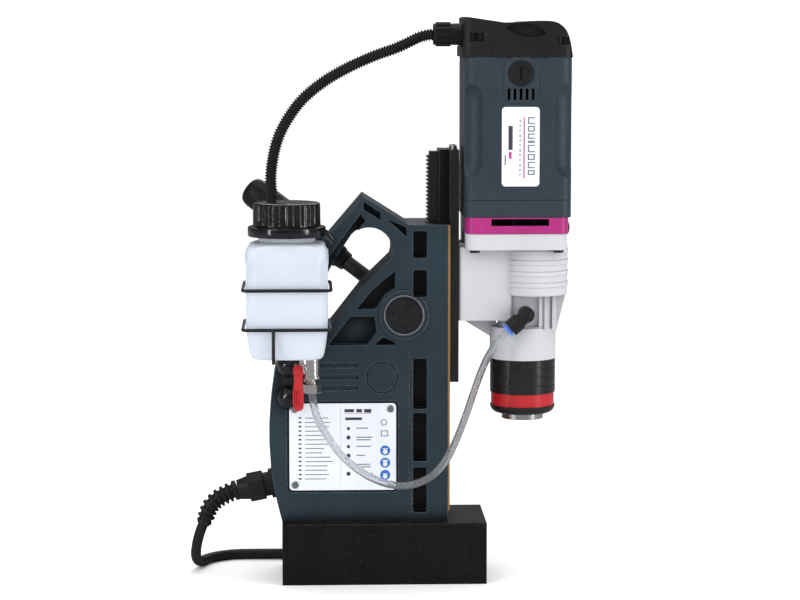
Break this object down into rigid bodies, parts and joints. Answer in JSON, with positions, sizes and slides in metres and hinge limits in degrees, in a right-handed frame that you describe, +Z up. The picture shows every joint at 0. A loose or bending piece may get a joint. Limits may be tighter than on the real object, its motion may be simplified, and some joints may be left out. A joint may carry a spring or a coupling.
{
  "type": "magnetic drill press",
  "caption": "Portable drilling machine on an electromagnet base, with a rack-driven motor head, capstan handles, quick-change spindle and a coolant bottle.",
  "frame": {"origin": "centre of the magnet's lower face, which grips the work", "axes": "+Z up along the feed, +X along the base towards the spindle, +Y away from the rating plate and the bottle towards the capstan and the switches"},
  "size_m": [0.3223, 0.2843, 0.456],
  "materials": {
    "black_coat": "black semi-matt paint on steel, slightly brushed",
    "copper": "enamelled copper winding",
    "blue_grey_casting": "dark blue-grey powder coat with a fine orange peel",
    "black_plastic": "moulded black plastic, fine spark texture",
    "circuit_board": "green solder resist",
    "brass": "machined brass strip",
    "steel": "machined and ground steel",
    "black_oxide": "black oxide on ground steel",
    "white_label": "printed white film, satin",
    "black_rubber": "black cable rubber",
    "bottle_plastic": "translucent white blow-moulded plastic",
    "black_gloss": "glossy black moulded plastic",
    "black_wire": "black coated steel wire",
    "chrome": "nickel plated brass",
    "red_plastic": "red moulded plastic",
    "clear_hose": "clear soft tube",
    "green_plastic": "green moulded plastic",
    "grey_casting": "light grey powder coat with a fine grain",
    "magenta_plastic": "magenta moulded plastic, satin gloss",
    "motor_shell": "dark blue-grey moulded plastic, spark texture",
    "blue_plastic": "blue moulded plastic",
    "laminations": "stacked steel sheet",
    "carbon": "pressed carbon",
    "grip_plastic": "black moulded grip, slight sheen"
  },
  "bodies": {
    "stand": {"magnet_housing": "black_coat", "magnet_coils": "copper", "frame_casting": "blue_grey_casting", "control_cover": "black_plastic", "control_board": "circuit_board", "wear_strips": "brass", "pinion_bushings": "steel", "label_plate": "white_label", "label_screws": "steel", "mains_gland": "black_plastic", "bend_relief": "black_rubber", "mains_cord": "black_rubber", "cord_coil": "black_rubber", "cord_tail": "black_rubber", "mains_plug": "black_rubber", "bottle": "bottle_plastic", "cap_strap": "black_gloss", "bottle_bracket": "black_wire", "bracket_knobs": "black_gloss", "valve_body": "chrome", "hose_nut": "chrome", "coolant_hose": "clear_hose", "conduit": "black_plastic", "frame_conduit_gland": "black_plastic"},
    "head": {"dovetail_slide": "black_oxide", "rack": "black_oxide", "slide_screws": "steel", "gearbox_housing": "grey_casting", "bearing_plate": "steel", "fan_ring": "magenta_plastic", "motor_housing": "motor_shell", "top_cap": "black_plastic", "top_gland": "black_plastic", "stator": "laminations", "brush_caps": "black_plastic", "carbon_brushes": "carbon", "motor_label": "white_label", "motor_screws": "black_oxide", "elbow_fitting": "black_plastic", "gearbox_bearings": "steel"},
    "rotor": {"armature": "laminations", "cooling_fan": "black_plastic"},
    "idler": {"idler_gear": "steel"},
    "spindle_unit": {"spindle": "steel", "spindle_gear": "steel"},
    "chuck": {"chuck_sleeve": "black_oxide", "chuck_ring": "red_plastic", "chuck_collar": "black_oxide"},
    "capstan": {"pinion_shaft": "steel", "capstan_hub": "black_plastic", "handle_grips": "grip_plastic"},
    "lever": {"valve_ball": "chrome", "valve_lever": "red_plastic"},
    "liner": {"cap_liner": "white_label"},
    "cap": {"bottle_cap": "black_gloss"},
    "rocker": {"magnet_switch": "red_plastic"},
    "start": {"start_button": "green_plastic"},
    "stop": {"stop_button": "red_plastic"},
    "dial": {"speed_dial": "black_plastic"},
    "collet": {"elbow_collet": "blue_plastic"}
  },
  "joints": [
    {"name": "head_slide", "type": "slide", "parent": "stand", "child": "head", "axis": [0, 0, 1], "range_m": [-0.105, 0.045], "deforming": ["coolant_hose", "conduit"]},
    {"name": "capstan_turn", "type": "hinge", "parent": "stand", "child": "capstan", "pos_m": [0.016, 0, 0.218], "axis": [0, 1, 0], "range_deg": [-129.2, 301.2]},
    {"name": "spindle_turn", "type": "hinge", "parent": "head", "child": "spindle_unit", "pos_m": [0.114, 0, 0.2], "axis": [0, 0, 1], "continuous": true},
    {"name": "idler_turn", "type": "hinge", "parent": "head", "child": "idler", "pos_m": [0.09443, 0.01523, 0.26], "axis": [0, 0, 1], "continuous": true},
    {"name": "motor_turn", "type": "hinge", "parent": "head", "child": "rotor", "pos_m": [0.108, 0, 0.3], "axis": [0, 0, 1], "continuous": true},
    {"name": "chuck_pull", "type": "slide", "parent": "spindle_unit", "child": "chuck", "axis": [0, 0, -1], "range_m": [0, 0.008], "stiffness_N_per_m": 1000, "springref_m": -0.01},
    {"name": "collet_push", "type": "slide", "parent": "head", "child": "collet", "axis": [0.766, 0, 0.6428], "range_m": [0, 0.0014], "stiffness_N_per_m": 400, "springref_m": -0.002},
    {"name": "valve_turn", "type": "hinge", "parent": "stand", "child": "lever", "pos_m": [-0.06, -0.066, 0.18], "axis": [-0.7071, -0.7071, 0], "range_deg": [0, 90]},
    {"name": "cap_lift", "type": "slide", "parent": "stand", "child": "liner", "axis": [0, 0, 1], "range_m": [0, 0.0041]},
    {"name": "cap_turn", "type": "hinge", "parent": "liner", "child": "cap", "pos_m": [-0.0775, -0.0655, 0.3], "axis": [0, 0, 1], "range_deg": [0, 360]},
    {"name": "magnet_switch_rock", "type": "hinge", "parent": "stand", "child": "rocker", "pos_m": [-0.06, 0.042, 0.15], "axis": [1, 0, 0], "range_deg": [-18, 0]},
    {"name": "start_press", "type": "slide", "parent": "stand", "child": "start", "axis": [0, -1, 0], "range_m": [0, 0.003], "stiffness_N_per_m": 500, "springref_m": -0.002},
    {"name": "stop_press", "type": "slide", "parent": "stand", "child": "stop", "axis": [0, -1, 0], "range_m": [0, 0.003], "stiffness_N_per_m": 500, "springref_m": -0.002},
    {"name": "dial_turn", "type": "hinge", "parent": "stand", "child": "dial", "pos_m": [-0.04, 0.043, 0.08], "axis": [0, 1, 0], "range_deg": [0, 270]}
  ],
  "couplings": [
    {"joint": "capstan_turn", "follows": "head_slide", "rad_per_m": -50},
    {"joint": "idler_turn", "follows": "spindle_turn", "ratio": -3.4286},
    {"joint": "motor_turn", "follows": "spindle_turn", "ratio": 11.143},
    {"joint": "cap_lift", "follows": "cap_turn", "m_per_rad": 0.00063662}
  ]
}
